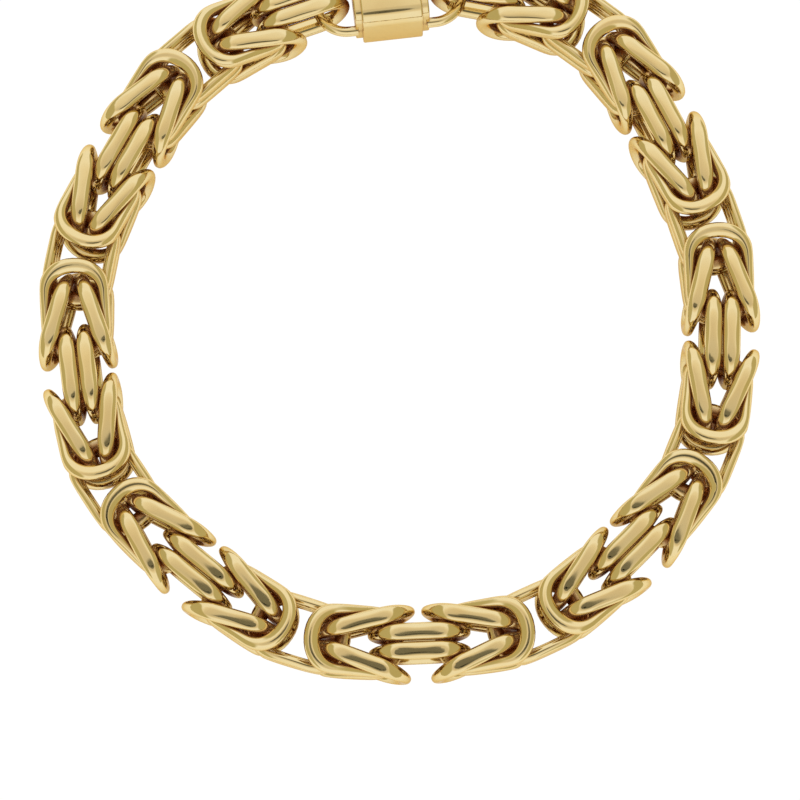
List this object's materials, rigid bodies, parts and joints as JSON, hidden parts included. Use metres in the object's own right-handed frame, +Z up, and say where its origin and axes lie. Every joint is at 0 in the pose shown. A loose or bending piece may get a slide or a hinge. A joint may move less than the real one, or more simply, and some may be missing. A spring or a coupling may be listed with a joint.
{
  "type": "byzantine neck chain",
  "caption": "Heavy byzantine neck chain of polished yellow gold, paired oval links woven into knots, closed by a plain box clasp and lying flat in a round loop.",
  "frame": {"origin": "middle of the overall box in X and Y, on the surface that the chain lies on", "axes": "+Z up out of the loop, +Y toward the clasp, -Y toward the front of the chain, loop in the XY plane"},
  "size_m": [0.1504, 0.1552, 0.0157],
  "materials": {
    "gold": "polished"
  },
  "bodies": {
    "root": {"chain_left": "gold", "chain_right": "gold", "clasp": "gold"}
  },
  "joints": []
}
